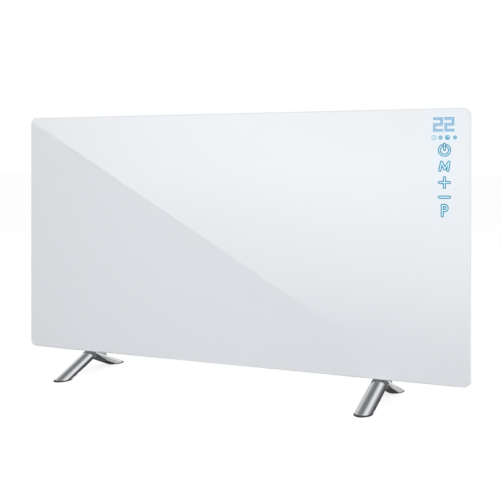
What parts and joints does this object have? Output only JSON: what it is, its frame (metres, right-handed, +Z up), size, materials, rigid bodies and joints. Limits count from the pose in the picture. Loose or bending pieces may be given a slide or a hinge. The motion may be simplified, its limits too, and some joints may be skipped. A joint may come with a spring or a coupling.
{
  "type": "infrared panel heater",
  "caption": "Free-standing infrared panel heater: white glass front with lit touch display, folded steel pan, electrics box, and inverted-V metal feet with rubber soles.",
  "frame": {"origin": "on the floor under the middle of the heater: centred across the panel and midway between the front and rear soles", "axes": "+X along the panel to the viewer's right, +Y back from the viewer, +Z up"},
  "size_m": [0.87, 0.2204, 0.49],
  "materials": {
    "white_glass": "gloss",
    "polymer_bead": "matt",
    "white_powder_coat": "satin powder coat",
    "film": "matt",
    "copper": "bright",
    "mineral_board": "matt",
    "foil": "bright",
    "zinc_steel": "zinc plated",
    "black_plastic": "fine grained",
    "white_plastic": "fine grained",
    "board_green": "solder mask",
    "digit_grey": "gloss",
    "opal": "satin",
    "foam": "open cell",
    "ribbon_grey": "satin",
    "blue_plastic": "gloss",
    "box_plastic": "fine grained",
    "rocker_black": "gloss",
    "steel_pin": "bright",
    "brass_weight": "turned",
    "silicone": "satin",
    "black_rubber": "matt",
    "brushed_metal": "brushed"
  },
  "bodies": {
    "heater": {"front_glass": "white_glass", "bonding_bead": "polymer_bead", "rear_pan": "white_powder_coat", "heating_film": "film", "busbars": "copper", "insulation_board": "mineral_board", "reflector_foil": "foil", "thermal_cutouts": "black_plastic", "upper_rail": "zinc_steel", "lower_rail": "zinc_steel", "rivet_nuts": "zinc_steel", "display_frame": "white_plastic", "display_board": "board_green", "digit_modules": "digit_grey", "diffuser": "opal", "touch_pads": "foam", "ribbon_cable": "ribbon_grey", "electrics_box": "box_plastic", "power_board": "board_green", "board_posts": "white_plastic", "relay": "blue_plastic", "transformer": "black_plastic", "capacitor": "black_plastic", "terminal_block": "white_plastic", "switch_body": "black_plastic", "gland_body": "black_plastic", "gland_locknut": "black_plastic", "gland_cap": "black_plastic", "gland_seal": "black_rubber", "tip_switch_case": "white_plastic", "tip_switch_lid": "white_plastic", "tip_pivot_pin": "steel_pin", "lead_grommet": "black_rubber", "element_leads": "silicone", "room_sensor": "black_plastic", "earth_stud": "zinc_steel", "foot_tube_left": "brushed_metal", "foot_tube_right": "brushed_metal", "foot_bracket_left": "zinc_steel", "foot_bracket_right": "zinc_steel", "foot_soles": "black_rubber", "bracket_screws": "zinc_steel"},
    "rocker": {"switch_rocker": "rocker_black"},
    "pendulum": {"tip_pendulum": "brass_weight"}
  },
  "joints": [
    {"name": "power_switch_rock", "type": "hinge", "parent": "heater", "child": "rocker", "pos_m": [0.409, 0.027, 0.24], "axis": [0, 1, 0], "range_deg": [0, 24]},
    {"name": "tip_pendulum_swing", "type": "hinge", "parent": "heater", "child": "pendulum", "pos_m": [0.31765, 0.026, 0.251], "axis": [1, 0, 0], "range_deg": [-20, 20]}
  ]
}
